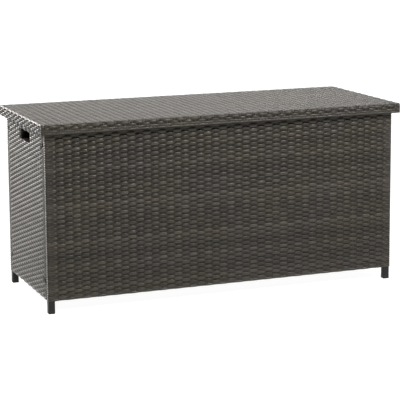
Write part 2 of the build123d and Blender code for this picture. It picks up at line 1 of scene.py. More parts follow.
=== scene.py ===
# Looks of the deck storage box: woven plastic strand, painted tube and
# fittings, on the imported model's frame. Millimetres inside, metres out.
import math
import numpy as np
import bpy
from mathutils import Matrix, Vector


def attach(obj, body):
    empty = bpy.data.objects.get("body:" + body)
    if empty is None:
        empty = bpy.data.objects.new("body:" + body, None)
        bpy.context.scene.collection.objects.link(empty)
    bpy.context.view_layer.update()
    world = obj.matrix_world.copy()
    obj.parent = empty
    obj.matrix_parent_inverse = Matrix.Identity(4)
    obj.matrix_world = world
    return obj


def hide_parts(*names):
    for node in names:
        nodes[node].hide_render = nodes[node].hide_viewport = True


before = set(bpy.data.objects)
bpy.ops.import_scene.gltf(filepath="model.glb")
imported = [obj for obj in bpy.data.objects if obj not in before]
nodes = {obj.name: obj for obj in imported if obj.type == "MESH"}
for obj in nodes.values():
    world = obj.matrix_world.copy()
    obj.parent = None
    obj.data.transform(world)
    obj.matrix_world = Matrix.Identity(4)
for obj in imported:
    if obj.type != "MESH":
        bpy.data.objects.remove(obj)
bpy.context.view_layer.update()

MM = 0.001
rng = np.random.default_rng(20)

# sizes in mm, as in the model
BODY_L, BODY_D, TOP, BOTTOM = 1164.0, 447.0, 551.0, 40.0
LID_L, LID_D, LID_Z, LID_TOP = 1200.0, 500.0, 553.5, 585.0
ROW = 7.3
ROWS = 70
W = 8.1          # strand width where rows cross; it swells where it comes out over a warp
T = 3.0          # strand thickness at its crown


# ---------------------------------------------------------------------------
# materials
# ---------------------------------------------------------------------------
def new_mat(name):
    m = bpy.data.materials.new(name)
    m.use_nodes = True
    nt = m.node_tree
    nt.nodes.clear()
    out = nt.nodes.new("ShaderNodeOutputMaterial")
    bsdf = nt.nodes.new("ShaderNodeBsdfPrincipled")
    nt.links.new(bsdf.outputs[0], out.inputs[0])
    return m, nt, bsdf


def node(nt, kind, **sets):
    n = nt.nodes.new(kind)
    for k, v in sets.items():
        setattr(n, k, v)
    return n


def ramp(nt, stops, src):
    r = node(nt, "ShaderNodeValToRGB")
    el = r.color_ramp.elements
    while len(el) < len(stops):
        el.new(0.5)
    for e, (p, c) in zip(el, stops):
        e.position = p
        e.color = c if len(c) == 4 else (*c, 1.0)
    nt.links.new(src, r.inputs[0])
    return r.outputs[0]


def math_node(nt, op, a, b=None, c=None):
    n = node(nt, "ShaderNodeMath", operation=op)
    for i, s in enumerate((a, b, c)):
        if s is None:
            continue
        if isinstance(s, (int, float)):
            n.inputs[i].default_value = s
        else:
            nt.links.new(s, n.inputs[i])
    return n.outputs[0]


def coords(nt, scale=(1, 1, 1)):
    tc = node(nt, "ShaderNodeTexCoord")
    mp = node(nt, "ShaderNodeMapping")
    mp.inputs["Scale"].default_value = scale
    nt.links.new(tc.outputs["Object"], mp.inputs["Vector"])
    return mp.outputs[0]


def noise(nt, vec, scale, detail=3.0, rough=0.55):
    n = node(nt, "ShaderNodeTexNoise")
    n.inputs["Scale"].default_value = scale
    n.inputs["Detail"].default_value = detail
    n.inputs["Roughness"].default_value = rough
    nt.links.new(vec, n.inputs["Vector"])
    return n.outputs["Fac"]


def bump(nt, height, strength, distance, normal=None):
    b = node(nt, "ShaderNodeBump")
    b.inputs["Strength"].default_value = strength
    b.inputs["Distance"].default_value = distance
    nt.links.new(height, b.inputs["Height"])
    if normal is not None:
        nt.links.new(normal, b.inputs["Normal"])
    return b.outputs[0]


def mix_col(nt, fac, a, b, blend="MIX"):
    m = node(nt, "ShaderNodeMix", data_type="RGBA", blend_type=blend)
    ins = [s for s in m.inputs if s.type == "RGBA"]
    if isinstance(fac, (int, float)):
        m.inputs[0].default_value = fac
    else:
        nt.links.new(fac, m.inputs[0])
    for s, v in zip(ins, (a, b)):
        if isinstance(v, tuple):
            s.default_value = (*v, 1.0)
        else:
            nt.links.new(v, s)
    return [o for o in m.outputs if o.type == "RGBA"][0]


def strand_material(name, dark, mid, light, rough=(0.33, 0.52), spec=0.5):
    """Extruded flat strand: each strand its own shade, fine ridges along it."""
    m, nt, bsdf = new_mat(name)
    tone = node(nt, "ShaderNodeAttribute", attribute_name="tone").outputs["Fac"]
    across = node(nt, "ShaderNodeAttribute", attribute_name="across").outputs["Fac"]
    length = node(nt, "ShaderNodeAttribute", attribute_name="along").outputs["Fac"]
    vec = coords(nt)
    cloud = noise(nt, vec, 9.0, 4.0, 0.6)
    grain = noise(nt, vec, 420.0, 3.0, 0.6)
    # streaks that run along the strand
    comb = node(nt, "ShaderNodeCombineXYZ")
    nt.links.new(math_node(nt, "MULTIPLY", length, 9.0), comb.inputs[0])
    nt.links.new(math_node(nt, "MULTIPLY", across, 11.0), comb.inputs[1])
    nt.links.new(math_node(nt, "MULTIPLY", tone, 57.0), comb.inputs[2])
    streak = noise(nt, comb.outputs[0], 1.0, 3.0, 0.6)
    shade = math_node(nt, "ADD", math_node(nt, "MULTIPLY", tone, 0.55),
                      math_node(nt, "ADD", math_node(nt, "MULTIPLY", streak, 0.30),
                                math_node(nt, "MULTIPLY", cloud, 0.25)))
    col = ramp(nt, ((0.18, dark), (0.52, mid), (0.86, light)), shade)
    # batches of strand drift between olive and grey
    drift = ramp(nt, ((0.38, (1.03, 1.0, 0.90)), (0.62, (1.0, 0.97, 1.05))), noise(nt, vec, 5.5, 2.0, 0.5))
    col = mix_col(nt, 1.0, col, drift, "MULTIPLY")
    # a little pale dust worn on the strand's crown
    dust = ramp(nt, ((0.45, (0, 0, 0)), (0.75, (1, 1, 1))), math_node(nt, "ADD", math_node(nt, "MULTIPLY", grain, 0.5),
                math_node(nt, "MULTIPLY", cloud, 0.5)))
    col = mix_col(nt, math_node(nt, "MULTIPLY", dust, 0.10), col, tuple(min(1.0, 1.9 * c) for c in light))
    nt.links.new(col, bsdf.inputs["Base Color"])
    rr = node(nt, "ShaderNodeMapRange")
    rr.inputs["To Min"].default_value = rough[0]
    rr.inputs["To Max"].default_value = rough[1]
    nt.links.new(streak, rr.inputs["Value"])
    nt.links.new(rr.outputs[0], bsdf.inputs["Roughness"])
    bsdf.inputs["Specular IOR Level"].default_value = spec
    ridge = math_node(nt, "SINE", math_node(nt, "MULTIPLY", across, 34.0))
    h = math_node(nt, "ADD", math_node(nt, "MULTIPLY", ridge, 0.35), streak)
    n1 = bump(nt, h, 0.35, 0.0004)
    n2 = bump(nt, grain, 0.12, 0.0002, n1)
    nt.links.new(n2, bsdf.inputs["Normal"])
    return m


def paint_material(name, base, worn, rough, scale=900.0, strength=0.25, spec=0.45):
    """Powder coat: fine orange peel, soft mottling, a little wear."""
    m, nt, bsdf = new_mat(name)
    vec = coords(nt)
    peel = noise(nt, vec, scale, 2.0, 0.5)
    cloud = noise(nt, vec, 14.0, 4.0, 0.6)
    scuff = noise(nt, coords(nt, (1.0, 1.0, 0.16)), 190.0, 4.0, 0.7)
    scuff_m = ramp(nt, ((0.60, (0, 0, 0)), (0.74, (1, 1, 1))), scuff)
    col = mix_col(nt, cloud, tuple(0.82 * c for c in base), tuple(1.2 * c for c in base))
    col = mix_col(nt, math_node(nt, "MULTIPLY", scuff_m, 0.35), col, worn)
    nt.links.new(col, bsdf.inputs["Base Color"])
    rr = node(nt, "ShaderNodeMapRange")
    rr.inputs["To Min"].default_value = rough[0]
    rr.inputs["To Max"].default_value = rough[1]
    nt.links.new(cloud, rr.inputs["Value"])
    nt.links.new(rr.outputs[0], bsdf.inputs["Roughness"])
    bsdf.inputs["Specular IOR Level"].default_value = spec
    nt.links.new(bump(nt, peel, strength, 0.0002), bsdf.inputs["Normal"])
    return m


def steel_material(name, base, rough, stretch=(1.0, 1.0, 1.0), spangle=260.0):
    m, nt, bsdf = new_mat(name)
    bsdf.inputs["Metallic"].default_value = 1.0
    vec = coords(nt, stretch)
    vo = node(nt, "ShaderNodeTexVoronoi")
    vo.inputs["Scale"].default_value = spangle
    nt.links.new(vec, vo.inputs["Vector"])
    fine = noise(nt, vec, 700.0, 3.0, 0.6)
    stain = noise(nt, vec, 35.0, 5.0, 0.65)
    fac = math_node(nt, "ADD", math_node(nt, "MULTIPLY", vo.outputs["Distance"], 0.5), math_node(nt, "MULTIPLY", stain, 0.5))
    col = ramp(nt, ((0.2, tuple(0.72 * c for c in base)), (0.6, base), (0.9, tuple(min(1, 1.15 * c) for c in base))), fac)
    nt.links.new(col, bsdf.inputs["Base Color"])
    rr = node(nt, "ShaderNodeMapRange")
    rr.inputs["To Min"].default_value = rough[0]
    rr.inputs["To Max"].default_value = rough[1]
    nt.links.new(stain, rr.inputs["Value"])
    nt.links.new(rr.outputs[0], bsdf.inputs["Roughness"])
    nt.links.new(bump(nt, fine, 0.15, 0.0001), bsdf.inputs["Normal"])
    return m


wicker = strand_material("wicker", (0.0135, 0.0113, 0.0086), (0.0255, 0.0223, 0.0168), (0.046, 0.041, 0.032), (0.26, 0.40), spec=0.32)
wicker_core = strand_material("wicker_under", (0.018, 0.0155, 0.012), (0.032, 0.028, 0.022), (0.054, 0.049, 0.040), spec=0.4)
frame_paint = paint_material("frame_paint", (0.012, 0.0125, 0.011), (0.03, 0.03, 0.027), (0.5, 0.62), spec=0.22)
foot_plastic = paint_material("foot_plastic", (0.014, 0.014, 0.014), (0.05, 0.05, 0.048), (0.5, 0.65), 500.0, 0.35, 0.25)
rubber = paint_material("rubber", (0.018, 0.018, 0.018), (0.04, 0.04, 0.04), (0.7, 0.85), 1200.0, 0.4)
hinge_steel = steel_material("hinge_steel", (0.27, 0.27, 0.275), (0.36, 0.5))
screw_steel = steel_material("screw_steel", (0.36, 0.36, 0.365), (0.3, 0.44), spangle=600.0)
strut_paint = paint_material("strut_paint", (0.018, 0.018, 0.019), (0.05, 0.05, 0.05), (0.16, 0.26), 1500.0, 0.08)
black_steel = paint_material("black_steel", (0.022, 0.022, 0.023), (0.12, 0.12, 0.12), (0.3, 0.42), 700.0, 0.15)
strut_plastic = paint_material("strut_plastic", (0.025, 0.025, 0.025), (0.05, 0.05, 0.05), (0.38, 0.5), 800.0, 0.2)
strut_chrome = steel_material("strut_chrome", (0.80, 0.81, 0.82), (0.06, 0.12), (1.0, 1.0, 0.05), 300.0)
slots = {"frame_paint": frame_paint, "wicker": wicker_core, "foot_plastic": foot_plastic, "rubber": rubber,
         "hinge_steel": hinge_steel, "screw_steel": screw_steel, "strut_paint": strut_paint,
         "strut_plastic": strut_plastic, "strut_chrome": strut_chrome, "black_steel": black_steel}

node_slots = {}
for name in nodes:
    if "wicker" in name or "wrap" in name:
        s = "wicker"
    elif "foot_caps" in name:
        s = "foot_plastic"
    elif "bumper" in name:
        s = "rubber"
    elif "stud" in name or name.startswith("strut_"):
        s = "black_steel"
    elif name in ("floor_screws", "hinge_body_screws", "hinge_lid_screws", "strut_lower_screws",
                  "strut_upper_screws", "bracket_nuts", "panel_bolts"):
        s = "screw_steel"
    elif name.startswith("hinge"):
        s = "hinge_steel"
    elif name.endswith("strut_tube"):
        s = "strut_paint"
    elif name.endswith(("_eye", "_gland", "_piston")):
        s = "strut_plastic"
    elif name.endswith("strut_rod"):
        s = "strut_chrome"
    else:
        s = "frame_paint"
    node_slots[name] = s
for name, o in nodes.items():
    mat = slots[node_slots[name]]
    if len(o.material_slots) == 0:
        o.data.materials.append(mat)
    for ms in o.material_slots:
        ms.material = mat


# ---------------------------------------------------------------------------
# strands
# ---------------------------------------------------------------------------
SEC7 = np.array([(-0.5, -0.26), (-0.31, 0.22), (0.0, 0.5), (0.31, 0.22), (0.5, -0.26), (0.34, -0.5), (-0.34, -0.5)])
SEC5 = np.array([(-0.5, 0.05), (-0.24, 0.48), (0.24, 0.48), (0.5, 0.05), (0.0, -0.5)])
SEC6 = np.array([(-0.5, 0.0), (-0.25, 0.45), (0.25, 0.45), (0.5, 0.0), (0.25, -0.45), (-0.25, -0.45)])


class Bulk:
    """Many ribbons gathered into one mesh."""

    def __init__(self):
        self.v, self.tone, self.across, self.along, self.quads, self.caps = [], [], [], [], [], []
        self.n = 0

    def add(self, P, N, width, thick, tone, sec=SEC7):
        """P and N are (ribbons, points, 3); N points out of the ribbon's face."""
        P = np.asarray(P, float)
        N = np.asarray(N, float)
        k, m, _ = P.shape
        Tn = np.gradient(P, axis=1)
        Tn /= np.linalg.norm(Tn, axis=2, keepdims=True) + 1e-12
        B = np.cross(Tn, N)
        B /= np.linalg.norm(B, axis=2, keepdims=True) + 1e-12
        N2 = np.cross(B, Tn)
        wd = np.broadcast_to(np.asarray(width, float).reshape(k, -1) if np.ndim(width) else np.full((k, 1), float(width)), (k, m))
        th = np.broadcast_to(np.asarray(thick, float).reshape(k, -1) if np.ndim(thick) else np.full((k, 1), float(thick)), (k, m))
        J = len(sec)
        V = (P[:, :, None, :] + B[:, :, None, :] * (sec[None, None, :, 0, None] * wd[:, :, None, None])
             + N2[:, :, None, :] * (sec[None, None, :, 1, None] * th[:, :, None, None]))
        step = np.linalg.norm(np.diff(P, axis=1), axis=2)
        run = np.concatenate([np.zeros((k, 1)), np.cumsum(step, axis=1)], axis=1) * 0.02
        self.v.append(V.reshape(-1, 3))
        tone = np.asarray(tone, float).reshape(k, 1, 1)
        self.tone.append(np.broadcast_to(tone, (k, m, J)).reshape(-1))
        self.across.append(np.broadcast_to(sec[None, None, :, 0], (k, m, J)).reshape(-1))
        self.along.append(np.broadcast_to(run[:, :, None], (k, m, J)).reshape(-1))
        base = self.n + (np.arange(k) * m * J)[:, None, None]
        ring = base + (np.arange(m - 1) * J)[None, :, None]
        j = np.arange(J)[None, None, :]
        j2 = (np.arange(J) + 1) % J
        j2 = j2[None, None, :]
        q = np.stack([ring + j, ring + j2, ring + J + j2, ring + J + j], axis=-1)
        self.quads.append(q.reshape(-1, 4))
        start = base[:, 0, :] + np.arange(J)[None, ::-1]
        end = base[:, 0, :] + (m - 1) * J + np.arange(J)[None, :]
        self.caps.append((J, np.concatenate([start, end], axis=0)))
        self.n += k * m * J

    def make(self, name, mat, body, *replaced):
        v = np.concatenate(self.v) * MM
        quads = np.concatenate(self.quads)
        loops = [quads.reshape(-1)]
        sizes = [np.full(len(quads), 4)]
        for J, c in self.caps:
            loops.append(c.reshape(-1))
            sizes.append(np.full(len(c), J))
        loops = np.concatenate(loops).astype(np.int32)
        sizes = np.concatenate(sizes)
        starts = np.concatenate([[0], np.cumsum(sizes)[:-1]]).astype(np.int32)
        me = bpy.data.meshes.new(name)
        me.vertices.add(len(v))
        me.vertices.foreach_set("co", v.astype(np.float32).reshape(-1))
        me.loops.add(len(loops))
        me.loops.foreach_set("vertex_index", loops)
        me.polygons.add(len(starts))
        me.polygons.foreach_set("loop_start", starts)
        me.polygons.foreach_set("use_smooth", np.ones(len(starts), dtype=bool))
        me.update(calc_edges=True)
        me.validate()
        for label, data in (("tone", self.tone), ("across", self.across), ("along", self.along)):
            at = me.attributes.new(label, "FLOAT", "POINT")
            at.data.foreach_set("value", np.concatenate(data).astype(np.float32))
        me.materials.append(mat)
        o = bpy.data.objects.new(name, me)
        bpy.context.collection.objects.link(o)
        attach(o, body)
        if replaced:
            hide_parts(*replaced)
        return o


def turn(alpha, u, n):
    """Normals turned by alpha from n towards u."""
    a = np.radians(np.asarray(alpha, float))[..., None]
    return np.cos(a) * n + np.sin(a) * u


class Patch:
    """A flat field of weave: u runs along the wefts, v along the warps, n out."""

    def __init__(self, origin, u, v, n):
        self.o, self.u, self.v, self.n = (np.array(a, float) for a in (origin, u, v, n))

    def wefts(self, bulk, vs, us, hs, lo=(), hi=(), width=W, thick=T, sec=SEC7, dv=0.06, swell=0.0, puff=0.0):
        """One weft per entry of vs. us (points), hs (rows, points); lo and hi are
        the end turns as (u, h, degrees from the normal towards u)."""
        k = len(vs)
        jit = rng.normal(0, dv, (k, 1)).clip(-2 * dv, 2 * dv)
        wob = np.cumsum(rng.normal(0, 0.05, (k, len(us))), axis=1)
        wob -= wob.mean(axis=1, keepdims=True)
        vv = np.asarray(vs)[:, None] + jit + wob.clip(-0.09, 0.09)
        U = np.broadcast_to(np.asarray(us, float), (k, len(us)))
        H = np.asarray(hs, float)
        A = np.zeros_like(H)
        out = (np.abs(H) / max(1e-6, np.abs(H).max())).clip(0.0, 1.0) ** 0.45
        lo, hi = list(lo), list(hi)
        parts_u, parts_h, parts_a, parts_v, parts_o = [U], [H], [A], [vv], [out]
        for ends, first in ((lo, True), (hi, False)):
            if not ends:
                continue
            e = np.array(ends, float)
            blk = [np.broadcast_to(e[:, i], (k, len(e))) for i in range(3)]
            ev = np.broadcast_to(vv[:, :1] if first else vv[:, -1:], (k, len(e)))
            if first:
                parts_u.insert(0, blk[0]); parts_h.insert(0, blk[1]); parts_a.insert(0, blk[2]); parts_v.insert(0, ev); parts_o.insert(0, 0.0 * ev)
            else:
                parts_u.append(blk[0]); parts_h.append(blk[1]); parts_a.append(blk[2]); parts_v.append(ev); parts_o.append(0.0 * ev)
        U, H, A, V, O = (np.concatenate(p, axis=1) for p in (parts_u, parts_h, parts_a, parts_v, parts_o))
        P = self.o + U[..., None] * self.u + V[..., None] * self.v + H[..., None] * self.n
        N = turn(A, self.u, self.n)
        wd = width * (1 + rng.normal(0, 0.015, (k, 1)))
        bulk.add(P, N, wd * (1.0 + swell * O), thick * (1.0 + puff * O), rng.random(k), sec)

    def warps(self, bulk, us, vs, hs, lo=(), hi=(), width=6.2, thick=1.0, sec=SEC5):
        Patch(self.o, self.v, self.u, self.n).wefts(bulk, us, vs, hs, lo, hi, width, thick, sec, 0.2)


def swell(rows, last, amount):
    """How much wider strands get where they come out: nothing in the first and last row."""
    rows = np.asarray(rows)[:, None]
    return np.where((rows <= 0) | (rows >= last), 0.0, amount)


def swing(c, rows, amp, flat=0.0):
    """Height of wefts at column position c for each row: over on even row + column."""
    rows = np.asarray(rows)[:, None]
    s = np.cos(math.pi * (c[None, :] + rows))
    s = np.where(np.abs(s) < 1e-6, 0.0, np.sign(s) * np.abs(s) ** 0.4)
    a = amp * (1 + rng.normal(0, 0.07, (len(rows), len(c)))).clip(0.8, 1.2)
    return s * a + flat


def columns(first, last, pitch):
    """Warp places from first to last at about the pitch (a number or a function of place)."""
    f = pitch if callable(pitch) else (lambda x: pitch)
    xs = [first]
    while xs[-1] < last - 0.5 * f(xs[-1]):
        xs.append(xs[-1] + f(xs[-1]))
    xs = np.array(xs)
    return first + (xs - first) * (last - first) / (xs[-1] - first)


def sample(xs, seg=4):
    """Places along the weft and their column numbers, seg to each warp space, close together
    where the strand dives from one face to the other."""
    steps = {2: (0.0, 0.5), 3: (0.0, 0.36, 0.64), 4: (0.0, 0.37, 0.46, 0.54, 0.63), 5: (0.0, 0.32, 0.45, 0.55, 0.68)}[seg]
    c = np.concatenate([[i + f for f in steps] for i in range(len(xs) - 1)] + [[len(xs) - 1.0]])
    return np.interp(c, np.arange(len(xs)), xs), c


def front_pitch(x):
    s = (x + 582.0) / 1164.0
    return float(np.interp(s, [0, .15, .3, .5, .65, .8, 1], [25.2, 25.2, 24.6, 25.6, 25.9, 24.2, 22.6]))


row_z = BOTTOM + ROW * (np.arange(ROWS) + 0.5)


def long_panel(sign, label, node_name):
    """Front (sign -1) or rear (sign 1) panel, its corner turns and its rim."""
    plane = 222.6
    P = Patch((0, sign * plane, 0), (1, 0, 0), (0, 0, 1), (0, sign, 0))
    xs = columns(-563.0, 563.0, front_pitch)
    us, c = sample(xs)
    # the strand over the post, round its corner and into the seam
    turn_hi = [(568.5, 0.5, 0), (573.5, 0.55, 0), (578.4, 0.5, 0), (580.3, 0.05, 35), (581.4, -1.3, 65),
               (581.7, -3.4, 90), (581.7, -8.0, 90), (581.7, -11.5, 90), (581.4, -13.6, 100), (580.3, -15.3, 125), (578.0, -16.2, 160)]
    turn_lo = [(-u, h, -a) for u, h, a in reversed(turn_hi)]
    rows = np.arange(ROWS)
    half = ROWS // 2
    for tag, sel in (("lower", rows[:half]), ("upper", rows[half:])):
        b = Bulk()
        hs = swing(c, sel, 2.25) * np.where(swell(sel, ROWS - 1, 1.0) > 0, 1.0, 0.45)
        hs = np.where(np.abs(us)[None, :] > 559.0, np.maximum(hs, 0.4), hs)      # pressed flat on the post
        P.wefts(b, row_z[sel], us, hs, turn_lo, turn_hi,
                swell=swell(sel, ROWS - 1, 0.6), puff=0.15)
        b.make(label + "_wefts_" + tag, wicker, "carcass", node_name, "corner_wraps")
    # warps, turned under the bottom rail and over the top rail
    b = Bulk()
    vz = BOTTOM + ROW * np.arange(1, 2 * ROWS, 1) * 0.5
    cr = np.arange(1, 2 * ROWS) * 0.5 - 0.5
    hs = []
    for i in range(len(xs)):
        s = -np.cos(math.pi * (cr + i)) * 0.3
        hs.append(s)
    lo = [(48.0, -22.6, 180), (43.5, -22.4, 200), (41.5, -20.0, 270), (41.35, -11.0, 270), (41.35, -3.4, 270), (41.9, -1.0, 315)]
    lo = [(v, h, a - 360) for v, h, a in lo]
    hi = [(549.0, -0.6, 25), (550.1, -1.6, 55), (550.45, -3.5, 90), (550.45, -12.0, 90), (550.45, -20.0, 90), (549.4, -22.4, 135), (546.0, -22.8, 180), (538.0, -22.8, 180)]
    P.warps(b, xs, vz, np.array(hs), lo, hi)
    b.make(label + "_warps", wicker, "carcass", node_name)
    # rim rows along the top of the rail
    b = Bulk()
    R = Patch((0, 0, 550.75), (1, 0, 0), (0, sign, 0), (0, 0, 1))
    k = np.arange(3)
    R.wefts(b, 218.6 - 7.2 * k, us, swing(c, k + ROWS, 0.5), [(-566.0, 0, 0), (-557.5, 0.2, 0)][:1], [(566.0, 0, 0)], width=6.7, thick=0.95)
    # inside rows of the rail, down its inner face and under it
    I = Patch((0, sign * 199.85, 0), (1, 0, 0), (0, 0, 1), (0, -sign, 0))
    I.wefts(b, 546.0 - 7.2 * k[:2], us, swing(c, k[:2] + ROWS + 3, 0.25), width=6.7, thick=0.8)
    b.make(label + "_rim", wicker, "carcass", "rim_wrap")


def end_panel(sign, label, node_name):
    """Left (sign -1) or right (sign 1) end, with its hand hole."""
    P = Patch((sign * 581.3, 0, 0), (0, 1, 0), (0, 0, 1), (sign, 0, 0))
    ys = columns(-189.8, 189.8, 23.72)
    us, c = sample(ys, 5)
    turn_hi = [(195.5, 0.05, 0), (199.3, -0.2, 5), (200.9, -1.2, 50), (201.2, -3.0, 90), (201.2, -7.0, 90), (200.8, -11.0, 90)]
    turn_lo = [(-u, h, -a) for u, h, a in reversed(turn_hi)]
    rows = np.arange(ROWS)
    hole = np.array([r for r in rows if 500.0 < row_z[r] < 538.0])
    bolted = np.array([r for r in rows if min(abs(row_z[r] - 99.0), abs(row_z[r] - 514.0)) < 6.6])
    full = np.array([r for r in rows if r not in hole and r not in bolted])
    b = Bulk()
    P.wefts(b, row_z[full], us, swing(c, full, 2.15) * np.where(swell(full, ROWS - 1, 1.0) > 0, 1.0, 0.45), turn_lo, turn_hi,
            swell=swell(full, ROWS - 1, 0.5), puff=0.1)
    # rows that stop short of the seam, at the panel bolts
    stop_hi = [(184.6, -0.6, 15), (185.8, -1.6, 50), (186.2, -3.4, 90)]
    stop_lo = [(-u, h, -a) for u, h, a in reversed(stop_hi)]
    near = np.abs(us) < 184.0
    both = [r for r in bolted if r not in hole]
    P.wefts(b, row_z[both], us[near], swing(c[near], both, 2.15), stop_lo, stop_hi, swell=0.5, puff=0.1)
    side = (us > 57.0) & near
    split = [r for r in bolted if r in hole]
    hole = np.array([r for r in hole if r not in split])
    # short rows each side of the hand hole, turned round the jambs
    jamb = [(55.6, -1.3, -50), (55.3, -3.2, -90), (55.3, -7.5, -90), (55.3, -12.0, -90), (56.2, -13.2, -140), (60.0, -13.6, -180)]
    jamb_lo, jamb_hi = list(reversed(jamb)), [(-u, h, -a) for u, h, a in jamb]
    for rr, cut, lo_end, hi_end in ((hole, us > 57.0, jamb_lo, turn_hi), (hole, us < -57.0, turn_lo, jamb_hi),
                                    (split, side, jamb_lo, stop_hi), (split, (us < -57.0) & near, stop_lo, jamb_hi)):
        if len(rr):
            P.wefts(b, row_z[rr], us[cut], swing(c[cut], rr, 2.15), lo_end, hi_end, swell=0.5, puff=0.1)
    b.make(label + "_wefts", wicker, "carcass", node_name)
    # warps; those over the hand hole stop at its sill and start again above
    b = Bulk()
    vz = BOTTOM + ROW * np.arange(1, 2 * ROWS, 1) * 0.5
    cr = np.arange(1, 2 * ROWS) * 0.5 - 0.5
    under = [(50.0, -22.4, -180), (43.5, -22.0, -160), (41.5, -20.0, -90), (41.35, -11.0, -90), (41.35, -3.4, -90), (41.9, -1.0, -45)]
    over = [(549.0, -0.6, 25), (550.1, -1.6, 55), (550.45, -3.5, 90), (550.45, -12.0, 90), (550.45, -20.0, 90), (549.4, -22.2, 135), (546.0, -22.6, 180), (540.0, -22.6, 180)]
    clear_of = np.abs(ys) > 57.0
    idx = np.arange(len(ys))
    hs = np.array([-np.cos(math.pi * (cr + i)) * 0.3 for i in idx])
    P.warps(b, ys[clear_of], vz, hs[clear_of], under, over)
    low = vz < 498.0
    sill = [(499.6, -0.9, 45), (500.55, -2.6, 90), (500.55, -11.0, 90), (500.55, -20.0, 90), (499.6, -22.0, 135), (495.0, -22.6, 180), (487.0, -22.6, 180)]
    P.warps(b, ys[~clear_of], vz[low], hs[~clear_of][:, low], under, sill)
    head = [(545.0, -22.4, -180), (540.0, -22.0, -160), (539.0, -20.0, -90), (539.0, -11.0, -90), (539.0, -3.4, -90), (539.6, -1.0, -45)]
    up = vz > 540.0
    P.warps(b, ys[~clear_of], vz[up], hs[~clear_of][:, up], head, over)
    b.make(label + "_warps", wicker, "carcass", node_name)
    # sill and head wraps of the hand hole, side by side round the tubes
    b = Bulk()
    s = np.linspace(-51.0, 51.0, 15)
    wrap = [(493.0, 0.7, 0), (498.5, 0.7, 5), (500.6, -0.2, 45), (501.2, -2.0, 90), (501.2, -11.0, 90), (501.2, -20.5, 90), (500.4, -22.6, 135), (497.0, -23.2, 180), (489.5, -23.2, 180)]
    w = np.array(wrap)
    Q = Patch(P.o, P.v, P.u, P.n)
    Q.wefts(b, s, w[2:3, 0], np.full((len(s), 1), w[2, 1]), wrap[:2], wrap[3:], width=6.6, thick=0.9, dv=0.12)
    wrap2 = [(545.0, -23.2, -180), (540.5, -23.0, -180), (538.9, -21.6, -135), (538.3, -19.5, -90), (538.3, -11.0, -90), (538.3, -2.4, -90), (538.9, -0.4, -45), (540.8, 0.7, 0), (546.0, 0.7, 0)]
    w = np.array(wrap2)
    Q.wefts(b, s, w[4:5, 0], np.full((len(s), 1), w[4, 1]), wrap2[:4], wrap2[5:], width=6.6, thick=0.9, dv=0.12)
    b.make(label + "_hand_hole_wraps", wicker, "carcass", node_name)
    # rim rows along the top of the flat tube
    b = Bulk()
    R = Patch((0, 0, 550.75), (0, 1, 0), (sign, 0, 0), (0, 0, 1))
    k = np.arange(3)
    R.wefts(b, 576.6 - 7.2 * k, us, swing(c, k + ROWS, 0.5), width=6.7, thick=0.95)
    b.make(label + "_rim", wicker, "carcass", "rim_wrap")


def floor():
    b = Bulk()
    P = Patch((0, 0, 63.5), (1, 0, 0), (0, 1, 0), (0, 0, 1))
    xs = columns(-548.0, 548.0, 25.4)
    us, c = sample(xs, 3)
    ys = np.arange(-195.6, 196.0, 7.38)
    k = np.arange(len(ys))
    P.wefts(b, ys, us, swing(c, k, 0.8), [(-557.0, -0.2, 0)], [(557.0, -0.2, 0)], width=8.1, thick=1.3, swell=0.4)
    vy = np.linspace(-199.0, 199.0, 2 * len(ys) + 1)
    cr = (vy + 195.6) / 7.38
    P.warps(b, xs, vy, np.array([-np.cos(math.pi * (cr + i)) * 0.3 for i in range(len(xs))]))
    b.make("floor_weave", wicker_core, "carcass", "floor_wicker")


